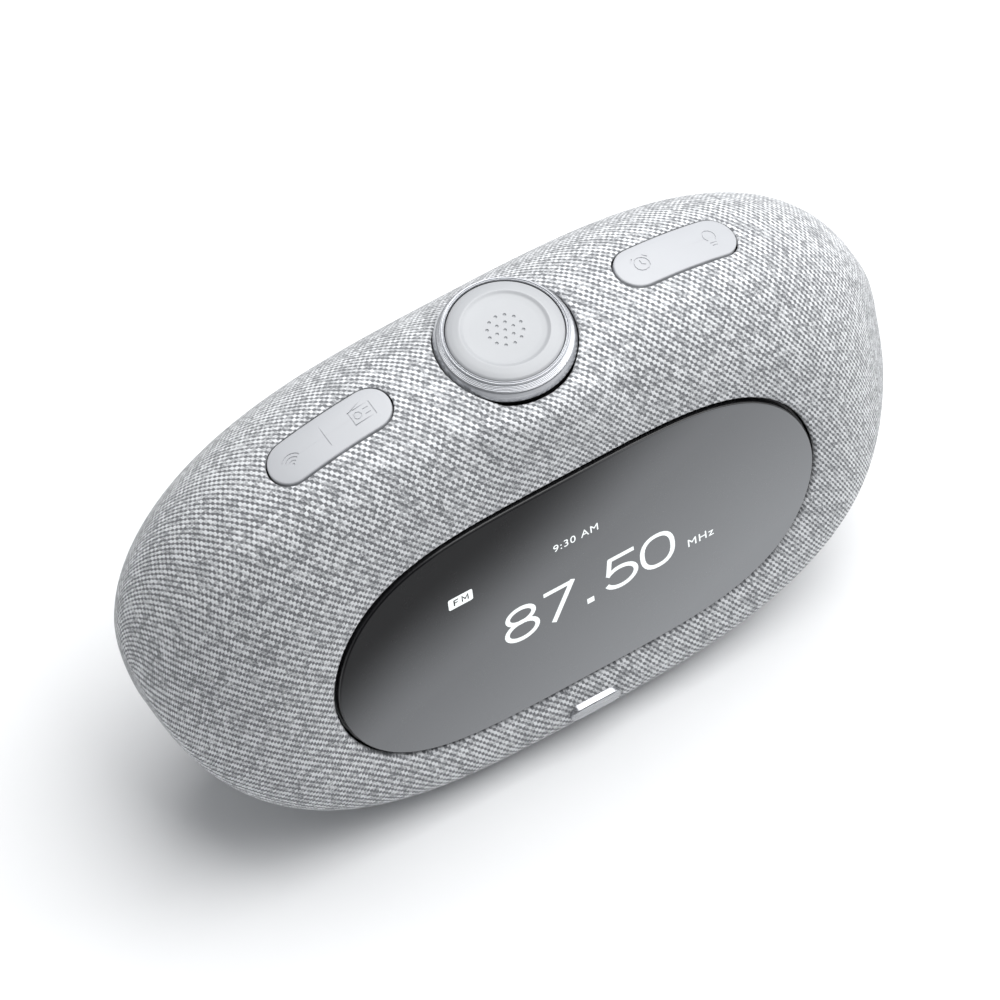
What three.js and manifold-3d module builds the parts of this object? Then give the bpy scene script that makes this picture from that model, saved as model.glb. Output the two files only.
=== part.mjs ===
// A bedside smart display: a fabric-covered body with a turning knob and two button bars on top.
// Millimetres, +Z up, front towards -Y. The origin is under the middle of the foot.
import * as THREE from "three";
import { mergeVertices, toCreasedNormals } from "three/addons/utils/BufferGeometryUtils.js";
import Module from "manifold-3d";

const wasm = await Module();
wasm.setup();

// Body: a rounded form, squarer at the front than at the back, that leans back a little.
const HALF_WIDTH = 90;
const HALF_HEIGHT = 54.8;
const FRONT_DEPTH = 32.6;
const REAR_DEPTH = 32.3;
const END_SQUARENESS = 3.18;
const END_ROUNDNESS = 1.82;
const FRONT_SQUARENESS = 4.25;
const REAR_SQUARENESS = 1.8;
const DEPTH_POWER = 0.77;
const FRONT_LEAN = 0.33;
const REAR_LEAN = -0.1;
const CENTRE_HEIGHT = 52;
const CENTRE_SHIFT = 3.125;
const BODY_RINGS = 22;
const BODY_SIDES = 32;
const INNER_RINGS = 18;
const INNER_SIDES = 24;

// Layers of the body, as distances in from its surface.
const FABRIC_THICKNESS = 1.2;
const SHELL_OUTSIDE = 1.5;
const SHELL_INSIDE = 4.2;
const SHELL_SPLIT_Y = 2;
const FIT_GAP = 0.3;

const SIDES = [
  ["left", -1],
  ["right", 1],
];

// Window for the display, on a plane that leans back.
const WINDOW_HALF_WIDTH = 59.2;
const WINDOW_HALF_HEIGHT = 31.9;
const WINDOW_END_SQUARENESS = 4.1;
const WINDOW_END_ROUNDNESS = 1.83;
const WINDOW_Y = -30.2;
const WINDOW_LEAN = THREE.MathUtils.degToRad(9.7);
const FLAT_MARGIN = 1.45;

// Base.
const BASE_PLANE = -50;
const BASE_Y = -11;
const BASE_HALF_LENGTH = 42;
const BASE_HALF_WIDTH = 13;
const FOOT_THICKNESS = 2;
const BASE_THICKNESS = 2.5;

// Knob.
const KNOB_Y = -2;
const RING_RADIUS = 15;
const RING_TOP = 57.1;
const CAP_RADIUS = 12.3;
const CAP_TOP = 57.9;
const WELL_RADIUS = 15.7;
const SLEEVE_RADIUS = 6;
const KNOB_BOARD_TOP = 28;
const SHOULDER_RADIUS = 17;
const SHOULDER_HEIGHT = 52.2;

// Button bars.
const BAR_X = 42.4;
const BAR_Y = -1.2;
const BAR_HALF_LENGTH = 14.6;
const BAR_HALF_WIDTH = 5.1;
const BAR_SLOPE = THREE.MathUtils.degToRad(12.2);
const BAR_THICKNESS = 2.4;

// Badge on the front, under the window.
const BADGE_Z = -39.7;
const BADGE_LEAN = THREE.MathUtils.degToRad(8);

// Rear panel, on a plane that faces down a little.
const PANEL_HALF_WIDTH = 32;
const PANEL_HALF_HEIGHT = 9;
const PANEL_Y = 29.6;
const PANEL_Z = -14;
const PANEL_TILT = THREE.MathUtils.degToRad(14);

// Loudspeakers, one towards each end.
const DRIVER_X = 68;
const DRIVER_RADIUS = 17;
const CONE_RADIUS = 13;

// Materials: colour, roughness, metalness.
const FABRIC = [0xc4c6ca, 0.95, 0];
const CAP_GREY = [0xdcdfe3, 0.4, 0];
const RING_METAL = [0xc9ccd0, 0.28, 1];
const SHELL_GREY = [0x8f9296, 0.6, 0];
const DARK_PLASTIC = [0x1b1c1e, 0.5, 0];
const GLASS = [0x55585c, 0.08, 0];
const SCREEN = [0x2b2d30, 0.3, 0];
const SHEET_STEEL = [0xa8abae, 0.4, 1];
const RUBBER = [0x2a2b2d, 0.9, 0];
const BOARD = [0x1f5b3a, 0.5, 0];
const FILM = [0xb5762a, 0.5, 0];
const PAPER_CONE = [0x232427, 0.85, 0];
const MAGNET = [0x4a4c4f, 0.45, 1];
const SCREW_STEEL = [0x6f7276, 0.35, 1];

const centre = new THREE.Group();
centre.position.set(0, CENTRE_SHIFT, CENTRE_HEIGHT);

function solid(geometry) {
  const bare = geometry.clone();
  bare.deleteAttribute("normal");
  bare.deleteAttribute("uv");
  const merged = mergeVertices(bare, 1e-4);
  return new wasm.Manifold(
    new wasm.Mesh({
      numProp: 3,
      vertProperties: merged.attributes.position.array,
      triVerts: new Uint32Array(merged.index.array),
    }),
  );
}

function add(name, body, [color, roughness, metalness]) {
  const made = body.getMesh();
  const geometry = new THREE.BufferGeometry();
  geometry.setAttribute("position", new THREE.BufferAttribute(made.vertProperties, 3));
  geometry.setIndex(new THREE.BufferAttribute(made.triVerts, 1));
  const material = new THREE.MeshStandardMaterial({ color, roughness, metalness });
  const mesh = new THREE.Mesh(toCreasedNormals(geometry, 0.6), material);
  mesh.name = name;
  centre.add(mesh);
}

function box(width, depth, height, x, y, z) {
  return solid(new THREE.BoxGeometry(width, depth, height).translate(x, y, z));
}

// A cylinder that stands on the height `low`.
function post(radius, low, high, x = 0, y = 0, sides = 14) {
  const rod = new THREE.CylinderGeometry(radius, radius, high - low, sides);
  return solid(rod.rotateX(Math.PI / 2).translate(x, y, (low + high) / 2));
}

// A round piece about the Z axis, from [radius, height] points listed upwards on the outside.
function turned(profile, sides = 28) {
  const points = profile.map(([radius, height]) => new THREE.Vector2(radius, height));
  return solid(new THREE.LatheGeometry(points, sides).rotateX(Math.PI / 2));
}

function place(body, matrix) {
  return body.transform(matrix.elements);
}

function move(body, x, y, z) {
  return body.translate([x, y, z]);
}

// Height-for-height, the window's plane.
function windowPlaneY(z) {
  return WINDOW_Y + z * Math.tan(WINDOW_LEAN);
}

// 1 inside the window's outline, falling to 0 at FLAT_MARGIN times its size.
function flatness(x, z) {
  const across = Math.abs(x / WINDOW_HALF_WIDTH) ** 3;
  const up = Math.abs(z / WINDOW_HALF_HEIGHT) ** 3;
  const size = (across + up) ** (1 / 3);
  const fade = THREE.MathUtils.clamp((FLAT_MARGIN - size) / (FLAT_MARGIN - 1), 0, 1);
  return fade * fade * (3 - 2 * fade);
}

// A point of the body's surface, `inset` in from the outside. `along` runs from -1 to 1 across the
// width, and `angle` goes round from the front over the top.
function bodyPoint(along, angle, inset) {
  const x = Math.sin((along * Math.PI) / 2);
  const girth = Math.max(0, 1 - Math.abs(x) ** END_SQUARENESS) ** (1 / END_ROUNDNESS);
  const front = Math.cos(angle) > 0;
  const depth = (front ? FRONT_DEPTH : REAR_DEPTH) - inset;
  const height = HALF_HEIGHT - inset;
  const squareness = front ? FRONT_SQUARENESS : REAR_SQUARENESS;
  const lean = front ? FRONT_LEAN : REAR_LEAN;
  const across = Math.abs(Math.cos(angle) / depth) ** squareness;
  const up = Math.abs(Math.sin(angle) / height) ** squareness;
  const reach = (across + up) ** (-1 / squareness);
  const rise = (reach * Math.sin(angle)) / height;
  const px = x * (HALF_WIDTH - inset);
  const py = -reach * Math.cos(angle) * (1 - lean * rise) * girth ** DEPTH_POWER;
  const pz = rise * height * girth;
  if (!front) return [px, py, pz];
  const flat = windowPlaneY(pz) + inset;
  const y = THREE.MathUtils.lerp(py, flat, flatness(px, pz));
  const apart = Math.hypot(px, y - KNOB_Y);
  const near = 1 - THREE.MathUtils.smoothstep(apart, SHOULDER_RADIUS, 1.6 * SHOULDER_RADIUS);
  const high = THREE.MathUtils.smoothstep(pz, 0.65 * SHOULDER_HEIGHT, 0.85 * SHOULDER_HEIGHT);
  const lift = near * high * Math.max(0, SHOULDER_HEIGHT - inset - pz);
  return [px, y, pz + lift];
}

// Angles round the body, closer together at its shoulders, where it bends most.
function roundAngles(count) {
  const angles = [];
  for (let step = 0; step < count; step += 1) {
    const turn = (2 * Math.PI * step) / count;
    const front = Math.cos(turn) > 0;
    const exponent = 2 / (front ? FRONT_SQUARENESS : REAR_SQUARENESS);
    const out = Math.cos(turn);
    const up = Math.sin(turn);
    const depth = (front ? FRONT_DEPTH : REAR_DEPTH) * Math.sign(out) * Math.abs(out) ** exponent;
    const height = HALF_HEIGHT * Math.sign(up) * Math.abs(up) ** exponent;
    const shoulder = (Math.atan2(height, depth) + 2 * Math.PI) % (2 * Math.PI);
    angles.push((turn + shoulder) / 2);
  }
  return angles;
}

// The whole body as one solid, `inset` in from the outside.
function bodyForm(inset, rings = BODY_RINGS, sides = BODY_SIDES) {
  const points = [];
  const faces = [];
  const angles = roundAngles(sides);
  const at = (ring, side) => (ring - 1) * sides + (side % sides);
  for (let ring = 1; ring < rings; ring += 1)
    for (const angle of angles) points.push(...bodyPoint((2 * ring) / rings - 1, angle, inset));
  const left = (rings - 1) * sides;
  const right = left + 1;
  points.push(inset - HALF_WIDTH, 0, 0, HALF_WIDTH - inset, 0, 0);
  for (let side = 0; side < sides; side += 1) {
    faces.push(left, at(1, side), at(1, side + 1));
    faces.push(at(rings - 1, side), right, at(rings - 1, side + 1));
    for (let ring = 1; ring < rings - 1; ring += 1) {
      faces.push(at(ring, side), at(ring + 1, side), at(ring + 1, side + 1));
      faces.push(at(ring, side), at(ring + 1, side + 1), at(ring, side + 1));
    }
  }
  const geometry = new THREE.BufferGeometry();
  geometry.setAttribute("position", new THREE.Float32BufferAttribute(points, 3));
  geometry.setIndex(faces);
  return solid(geometry);
}

const WINDOW_FRAME = new THREE.Matrix4()
  .makeTranslation(0, WINDOW_Y, 0)
  .multiply(new THREE.Matrix4().makeRotationX(Math.PI / 2 - WINDOW_LEAN));

const PANEL_FRAME = new THREE.Matrix4()
  .makeTranslation(0, PANEL_Y, PANEL_Z)
  .multiply(new THREE.Matrix4().makeRotationZ(Math.PI))
  .multiply(new THREE.Matrix4().makeRotationX(Math.PI / 2 + PANEL_TILT));

// A plate with the window's outline, shrunk by `margin`, between two depths. Outwards is positive.
function windowPlate(margin, low, high, count = 44) {
  const halfWidth = WINDOW_HALF_WIDTH - margin;
  const halfHeight = WINDOW_HALF_HEIGHT - margin;
  const outline = [];
  for (let step = 0; step < count; step += 1) {
    const angle = (2 * Math.PI * (step + 0.5)) / count;
    const across = Math.sin(angle);
    const up = (1 - Math.abs(across) ** WINDOW_END_SQUARENESS) ** (1 / WINDOW_END_ROUNDNESS);
    outline.push(new THREE.Vector2(across * halfWidth, Math.sign(Math.cos(angle)) * up * halfHeight));
  }
  const slab = new THREE.ExtrudeGeometry(new THREE.Shape(outline.reverse()), {
    depth: high - low,
    bevelEnabled: false,
  });
  return place(solid(slab.translate(0, 0, low)), WINDOW_FRAME);
}

function windowBox(width, height, thickness, x, up, out) {
  return place(box(width, height, thickness, x, up, out), WINDOW_FRAME);
}

// A stadium-shaped plate lying flat, round at both ends.
function stadium(halfLength, halfWidth, low, high) {
  const shape = new THREE.Shape();
  const straight = halfLength - halfWidth;
  shape.absarc(straight, 0, halfWidth, -Math.PI / 2, Math.PI / 2, false);
  shape.absarc(-straight, 0, halfWidth, Math.PI / 2, (3 * Math.PI) / 2, false);
  const slab = new THREE.ExtrudeGeometry(shape, {
    depth: high - low,
    bevelEnabled: false,
    curveSegments: 8,
  });
  return solid(slab.translate(0, 0, low));
}

// The frame of a button bar: its origin is on the body's surface, its Z along the surface's normal.
function barFrame(side) {
  const x = BAR_X / HALF_WIDTH;
  const height = HALF_HEIGHT * (1 - x ** END_SQUARENESS) ** (1 / END_ROUNDNESS);
  return new THREE.Matrix4()
    .makeTranslation(side * BAR_X, BAR_Y, height)
    .multiply(new THREE.Matrix4().makeRotationY(side * BAR_SLOPE));
}

const outside = bodyForm(0);
const fabricInside = bodyForm(FABRIC_THICKNESS);
const shellOutside = bodyForm(SHELL_OUTSIDE);
const shellInside = bodyForm(SHELL_INSIDE, INNER_RINGS, INNER_SIDES);
const interior = bodyForm(SHELL_INSIDE + FIT_GAP, INNER_RINGS, INNER_SIDES);
const barLayer = bodyForm(-0.3).subtract(bodyForm(BAR_THICKNESS));
function barCutter(side, gap) {
  const slot = stadium(BAR_HALF_LENGTH + gap, BAR_HALF_WIDTH + gap, -7, 6);
  return place(slot, barFrame(side));
}

// Cuts that every layer of the body shares, each widened by `gap`.
function bodyOpenings(gap) {
  const panel = box(
    2 * (PANEL_HALF_WIDTH + gap),
    2 * (PANEL_HALF_HEIGHT + gap),
    20,
    0,
    0,
    3,
  );
  return [
    windowPlate(-gap, -8, 12),
    move(post(WELL_RADIUS + gap, 38, 60, 0, 0, 28), 0, KNOB_Y, 0),
    barCutter(-1, 0.4 + gap),
    barCutter(1, 0.4 + gap),
    place(panel, PANEL_FRAME),
  ];
}

function subtractAll(body, cutters) {
  return cutters.reduce((left, cutter) => left.subtract(cutter), body);
}

const belowBase = box(200, 120, 40, 0, 0, BASE_PLANE - 20);

function fabricCover() {
  const skin = outside.subtract(fabricInside).subtract(belowBase);
  return subtractAll(skin, bodyOpenings(0));
}

// Slots in the ends of the shell, behind the fabric, that let the sound out.
function soundSlots() {
  const slots = [];
  for (const [, side] of SIDES)
    for (let row = -2; row <= 2; row += 1)
      slots.push(box(30, 22 - 3 * Math.abs(row), 2.6, side * 86, 0, row * 5.5));
  return slots;
}

// Half of the shell. The two halves meet on a plane a little behind the middle.
function shellHalf(front) {
  const edge = SHELL_SPLIT_Y + (front ? -FIT_GAP : FIT_GAP) / 2;
  const half = box(200, 80, 140, 0, edge + (front ? -40 : 40), 0);
  const wall = shellOutside.subtract(shellInside).intersect(half).subtract(belowBase);
  const hole = move(stadium(BASE_HALF_LENGTH, BASE_HALF_WIDTH, -60, -40), 0, BASE_Y, 0);
  return subtractAll(wall, [hole, ...bodyOpenings(1.7), ...soundSlots()]);
}

function addBody() {
  add("fabric_cover", fabricCover(), FABRIC);
  add("front_shell", shellHalf(true), SHELL_GREY);
  add("rear_shell", shellHalf(false), SHELL_GREY);
  const lean = new THREE.Matrix4().makeRotationX(Math.PI / 2 + BADGE_LEAN);
  const badge = place(stadium(6.2, 2.3, -2, 0.9), lean.setPosition(0, -37.4, BADGE_Z));
  add("front_badge", badge.subtract(bodyForm(-0.1)), RING_METAL);
}

// A screw that points up, with its head's underside face at the origin's height plus headHeight.
function screw(headRadius, headHeight, shankRadius, length) {
  const head = post(headRadius, 0, headHeight, 0, 0, 14);
  const recess = box(headRadius, 0.7, 1, 0, 0, 0).add(box(0.7, headRadius, 1, 0, 0, 0));
  const shank = post(shankRadius, headHeight - 0.2, length, 0, 0, 10);
  return head.subtract(recess).add(shank);
}

const BASE_TOP = BASE_PLANE + 0.2 + BASE_THICKNESS;
const BASE_SCREWS = [
  [-33, -17],
  [33, -17],
  [-33, -8],
  [33, -8],
];

function addBase() {
  const footLength = BASE_HALF_LENGTH - 3;
  const footWidth = BASE_HALF_WIDTH - 2.5;
  const foot = stadium(footLength, footWidth, BASE_PLANE - FOOT_THICKNESS, BASE_PLANE + 0.2);
  add("foot_pad", move(foot, 0, BASE_Y, 0), RUBBER);
  const length = BASE_HALF_LENGTH - FIT_GAP;
  const width = BASE_HALF_WIDTH - FIT_GAP;
  let plate = move(stadium(length, width, BASE_PLANE + 0.2, BASE_TOP), 0, BASE_Y, 0);
  BASE_SCREWS.forEach(([x, y], index) => {
    plate = plate.subtract(post(1.6, -60, -40, x, y));
    plate = plate.subtract(post(3.6, -60, BASE_PLANE + 1.7, x, y));
    const piece = move(screw(3.2, 1.3, 1.2, 6), x, y, BASE_PLANE + 0.4);
    add(`base_screw_${index + 1}`, piece, SCREW_STEEL);
  });
  add("base_plate", plate, DARK_PLASTIC);
}

// Everything from the window's glass back to the tray that holds the screen.
function addDisplay() {
  add("window_glass", windowPlate(1.3, -1.5, 0.2), GLASS);
  const rim = windowPlate(FIT_GAP, -3.4, -1.6);
  add("window_bezel", rim.subtract(windowPlate(6, -5, 0)), DARK_PLASTIC);
  add("screen_panel", windowBox(94, 42, 1.2, 0, 0, -4.3), SCREEN);
  const tray = windowBox(98, 46, 2.8, 0, 0, -6.2);
  const pocket = windowBox(94.6, 42.6, 2.6, 0, 0, -5);
  const well = windowBox(90, 38, 2.6, 0, 0, -5.6);
  add("screen_tray", tray.subtract(pocket).subtract(well), SHEET_STEEL);
  add("display_cable", displayCable(), FILM);
}

// The flat cable from the screen's lower edge, under the frame, to the back of the main board.
function displayCable() {
  const bends = [
    [-23.6, -6],
    [-25.2, -6],
    [-25.2, -19],
    [-13, -19],
    [-13, -17.4],
    [-13.3, -17.4],
    [-13.3, -18.7],
    [-24.9, -18.7],
    [-24.9, -6.3],
    [-23.6, -6.3],
  ];
  const shape = new THREE.Shape(bends.map(([up, out]) => new THREE.Vector2(-out, up)));
  const strip = new THREE.ExtrudeGeometry(shape, { depth: 16, bevelEnabled: false });
  return place(solid(strip.translate(0, 0, -8).rotateY(Math.PI / 2)), WINDOW_FRAME);
}

// The frame behind the screen: a plate on two legs that stand on the base plate, with four spacers
// for the main board.
function addFrame() {
  let frame = windowBox(104, 46, 2.4, 0, 0, -9.8);
  for (const [, side] of SIDES) {
    frame = frame.add(box(9, 16, 5, side * 32, -12, BASE_TOP + 2.5));
    frame = frame.add(box(9, 6.5, 21.5, side * 32, -22, -32));
    for (const up of [-11, 13])
      frame = frame.add(place(post(2.6, -15.6, -10.5, side * 31, up, 14), WINDOW_FRAME));
  }
  for (const [x, y] of BASE_SCREWS)
    frame = frame.subtract(post(1.5, -60, BASE_TOP + 4, x, y));
  add("inner_frame", frame, DARK_PLASTIC);
}

function addElectronics() {
  add("main_board", windowBox(72, 34, 1.6, 0, 1, -16.4), BOARD);
  add("processor_shield", windowBox(24, 20, 3, -12, 4, -18.7), SHEET_STEEL);
  add("amplifier_chip", windowBox(9, 9, 1.4, 14, 6, -17.9), DARK_PLASTIC);
  add("antenna_board", box(30, 1.2, 8, 0, 23.5, 19), BOARD);
}

// The cup that the knob sits in. Its rim follows the body's surface under the fabric's edge.
function knobWell() {
  const outer = WELL_RADIUS + 1.3;
  let well = turned([
    [SLEEVE_RADIUS + 0.5, 41.5],
    [outer, 41.5],
    [outer, 60],
    [WELL_RADIUS, 60],
    [WELL_RADIUS, 43.5],
    [SLEEVE_RADIUS + 0.5, 43.5],
    [SLEEVE_RADIUS + 0.5, 41.5],
  ]);
  for (const [, side] of SIDES) {
    well = well.add(post(2, KNOB_BOARD_TOP, 41.6, side * 13.6, 0, 14));
    well = well.subtract(post(1.3, KNOB_BOARD_TOP - 1, 33, side * 13.6, 0, 12));
  }
  return move(well, 0, KNOB_Y, 0).intersect(shellOutside);
}

// The metal ring: a lip, three fine steps, a tapered band, then a sleeve down through the well.
function knobRing() {
  return turned(
    [
      [4.2, 36],
      [SLEEVE_RADIUS, 36],
      [SLEEVE_RADIUS, 45.6],
      [RING_RADIUS - 0.8, 45.6],
      [RING_RADIUS - 0.8, 52.4],
      [RING_RADIUS, 53],
      [RING_RADIUS - 0.1, 53.6],
      [RING_RADIUS - 0.7, 55.2],
      [RING_RADIUS - 1, 55.3],
      [RING_RADIUS - 1, 55.7],
      [RING_RADIUS - 1.2, 55.8],
      [RING_RADIUS - 1.2, 56.2],
      [RING_RADIUS - 1.4, 56.3],
      [RING_RADIUS - 1.4, 56.8],
      [RING_RADIUS - 1.8, RING_TOP],
      [CAP_RADIUS + 0.5, RING_TOP],
      [CAP_RADIUS + 0.35, 56.9],
      [CAP_RADIUS + 0.35, 47.6],
      [4.2, 47.6],
      [4.2, 36],
    ],
    36,
  );
}

// The cap in the knob's middle: a ridge round a shallow dish, on a stem that reaches the switch.
function snoozeCap() {
  return turned(
    [
      [0, 33.5],
      [3.8, 33.5],
      [3.8, 50],
      [CAP_RADIUS, 50],
      [CAP_RADIUS, 56.8],
      [CAP_RADIUS - 0.4, 57.3],
      [CAP_RADIUS - 1.4, 57.7],
      [CAP_RADIUS - 2.6, CAP_TOP],
      [CAP_RADIUS - 3.2, CAP_TOP - 0.3],
      [5, CAP_TOP - 0.65],
      [0, CAP_TOP - 0.7],
    ],
    36,
  );
}

function addKnob() {
  const spot = (body) => move(body, 0, KNOB_Y, 0);
  add("knob_well", knobWell(), DARK_PLASTIC);
  add("knob_ring", spot(knobRing()), RING_METAL);
  add("snooze_cap", spot(snoozeCap()), CAP_GREY);
  const wheel = [
    [SLEEVE_RADIUS + 0.2, 37],
    [11, 37],
    [11, 38.2],
    [SLEEVE_RADIUS + 0.2, 38.2],
    [SLEEVE_RADIUS + 0.2, 37],
  ];
  add("encoder_wheel", spot(turned(wheel)), DARK_PLASTIC);
  const dome = [
    [0, 31.6],
    [3, 31.6],
    [3, 32.2],
    [1.8, 33.4],
    [0, 33.4],
  ];
  add("snooze_dome", spot(turned(dome, 20)), RUBBER);
  add("snooze_switch", box(6, 6, 3.6, 0, KNOB_Y, 29.8), DARK_PLASTIC);
  add("encoder_sensor", box(6, 4, 8.6, 0, KNOB_Y + 9, 32.3), DARK_PLASTIC);
  let board = box(36, 24, 1.5, 0, KNOB_Y, KNOB_BOARD_TOP - 0.75);
  SIDES.forEach(([name, side]) => {
    board = board.subtract(post(1.4, 20, 40, side * 13.6, KNOB_Y, 12));
    const piece = move(screw(2.2, 1.2, 1, 7), side * 13.6, KNOB_Y, KNOB_BOARD_TOP - 2.7);
    add(`${name}_knob_screw`, piece, SCREW_STEEL);
  });
  add("knob_board", board, BOARD);
}

// A button bar that rocks on a pin across its middle, over one switch at each end.
function addBar(name, side) {
  const frame = barFrame(side);
  const pinDepth = -4.6;
  const keyX = 9;
  let bar = place(stadium(BAR_HALF_LENGTH, BAR_HALF_WIDTH, -6, 6), frame).intersect(barLayer);
  const pin = new THREE.CylinderGeometry(0.9, 0.9, 8.6, 16).translate(0, 0, pinDepth);
  bar = bar.add(place(solid(pin), frame)).add(place(box(1.8, 7.6, 3.4, 0, 0, -3), frame));
  for (const [, end] of SIDES)
    bar = bar.add(place(post(1.2, -4.3, -1.6, end * keyX, 0, 12), frame));
  add(`${name}_bar`, bar, CAP_GREY);

  const clearance = new THREE.CylinderGeometry(1.2, 1.2, 12, 16).translate(0, 0, pinDepth);
  let tray = stadium(BAR_HALF_LENGTH + 2.6, BAR_HALF_WIDTH + 2.9, -9.6, 0);
  tray = tray.subtract(stadium(BAR_HALF_LENGTH + 1.4, BAR_HALF_WIDTH + 1.7, -8.2, 1));
  let board = box(27, 10, 1, 0, 0, -7.7);
  for (const [, end] of SIDES) {
    tray = tray.add(box(3.6, 1.4, 4.3, 0, end * 3.2, -6.15).subtract(solid(clearance)));
    board = board.subtract(box(4.4, 2.2, 2, 0, end * 3.2, -7.7));
  }
  const kept = place(tray, frame).intersect(interior);
  add(`${name}_bar_tray`, kept, DARK_PLASTIC);
  add(`${name}_key_board`, place(board, frame), BOARD);
  for (const [end, sign] of SIDES)
    add(`${name}_bar_${end}_key`, place(box(4.5, 4.5, 2.4, sign * keyX, 0, -6), frame), RUBBER);
}

// The panel in the back with the power inlet, a charging port and an audio jack.
function addRearPanel() {
  const wide = 2 * (PANEL_HALF_WIDTH - 0.4);
  const tall = 2 * (PANEL_HALF_HEIGHT - 0.4);
  const front = place(box(wide, tall, 2, 0, 0, -1.9), PANEL_FRAME);
  const skirt = place(box(wide + 3, tall + 3, 5, 0, 0, -5.3), PANEL_FRAME);
  let panel = front.add(skirt.intersect(shellOutside));
  const cut = [
    box(wide - 1, tall - 1, 6, 0, 0, -5.9),
    post(3.3, -5, 5, -18, 0),
    box(9.6, 3.9, 10, 0, 0, 0),
    post(2.9, -5, 5, 16, 0),
  ];
  for (const [, side] of SIDES) {
    cut.push(post(1.3, -5, 5, side * 28, 0, 12));
    cut.push(post(2.5, -2.1, 5, side * 28, 0, 14));
  }
  panel = cut.reduce((left, tool) => left.subtract(place(tool, PANEL_FRAME)), panel);
  add("rear_panel", panel, DARK_PLASTIC);

  const inlet = post(4.6, -12, -3.2, -18, 0).subtract(post(2.8, -10, 0, -18, 0));
  const usb = box(8.9, 3.2, 10.8, 0, 0, -6.6).subtract(box(8.3, 2.6, 9, 0, 0, -4.6));
  const jack = post(3.6, -12, -3.2, 16, 0).subtract(post(1.8, -11, 0, 16, 0));
  const pin = post(0.9, -10.5, -4, -18, 0, 12);
  const tongue = box(6.6, 0.7, 6, 0, 0, -6.5);
  add("power_inlet", place(inlet.add(pin), PANEL_FRAME), DARK_PLASTIC);
  add("charging_port", place(usb.add(tongue), PANEL_FRAME), SHEET_STEEL);
  add("audio_jack", place(jack, PANEL_FRAME), DARK_PLASTIC);
  add("port_board", place(box(52, 14, 1.6, 0, 0, -12.8), PANEL_FRAME), BOARD);
  const flip = new THREE.Matrix4().makeRotationX(Math.PI);
  for (const [name, side] of SIDES) {
    const piece = move(place(screw(2.2, 1, 1, 6), flip), side * 28, 0, -1.05);
    add(`${name}_panel_screw`, place(piece, PANEL_FRAME), SCREW_STEEL);
  }
}

// A small loudspeaker in its own round box, facing out at one end.
function addSpeaker(name, side) {
  const turn = new THREE.Matrix4().makeRotationY((side * Math.PI) / 2);
  const about = (profile) => place(turned(profile, 22), turn);
  const rim = DRIVER_RADIUS + 1.6;
  const chamber = [
    [0, DRIVER_X - 23],
    [rim, DRIVER_X - 23],
    [rim, DRIVER_X - 1.1],
    [rim - 1.4, DRIVER_X - 1.1],
    [rim - 1.4, DRIVER_X - 21.6],
    [0, DRIVER_X - 21.6],
  ];
  const basket = [
    [10, DRIVER_X - 11.5],
    [11.5, DRIVER_X - 11.5],
    [rim - 2, DRIVER_X - 2.2],
    [rim - 2, DRIVER_X - 1],
    [rim, DRIVER_X - 1],
    [rim, DRIVER_X + 0.4],
    [15.2, DRIVER_X + 0.4],
    [15.2, DRIVER_X - 1.4],
    [10, DRIVER_X - 10.1],
    [10, DRIVER_X - 11.5],
  ];
  const cone = [
    [0, DRIVER_X - 7.6],
    [3.4, DRIVER_X - 7.6],
    [CONE_RADIUS, DRIVER_X - 1.8],
    [CONE_RADIUS, DRIVER_X - 1],
    [4.4, DRIVER_X - 6.1],
    [2.4, DRIVER_X - 5.3],
    [0, DRIVER_X - 5.1],
  ];
  const roll = [
    [CONE_RADIUS + 0.4, DRIVER_X - 1.3],
    [14.9, DRIVER_X - 1.3],
    [14.9, DRIVER_X - 0.7],
    [14.5, DRIVER_X],
    [13.9, DRIVER_X],
    [CONE_RADIUS + 0.4, DRIVER_X - 0.7],
    [CONE_RADIUS + 0.4, DRIVER_X - 1.3],
  ];
  const magnet = [
    [0, DRIVER_X - 19],
    [10.5, DRIVER_X - 19],
    [10.5, DRIVER_X - 11.8],
    [0, DRIVER_X - 11.8],
  ];
  add(`${name}_speaker_box`, about(chamber), DARK_PLASTIC);
  add(`${name}_speaker_basket`, about(basket), SHEET_STEEL);
  add(`${name}_speaker_cone`, about(cone), PAPER_CONE);
  add(`${name}_cone_surround`, about(roll), RUBBER);
  add(`${name}_speaker_magnet`, about(magnet), MAGNET);
}

addBody();
addBase();
addDisplay();
addFrame();
addElectronics();
addKnob();
addRearPanel();
for (const [name, side] of SIDES) {
  addBar(name, side);
  addSpeaker(name, side);
}

const smartDisplay = new THREE.Group();
smartDisplay.name = "smart_display";
smartDisplay.add(centre);

export default smartDisplay;
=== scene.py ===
"""Looks for a fabric-covered smart display: a lying capsule with a dial, two key bars and a window.

Lengths inside the helper functions are in millimetres, in a frame centred on the body. Matrices such as BODY
and WINDOW carry them into the model's frame, in metres.
"""

import math

import bmesh
import bpy
import numpy as np
from mathutils import Matrix, Vector


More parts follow.
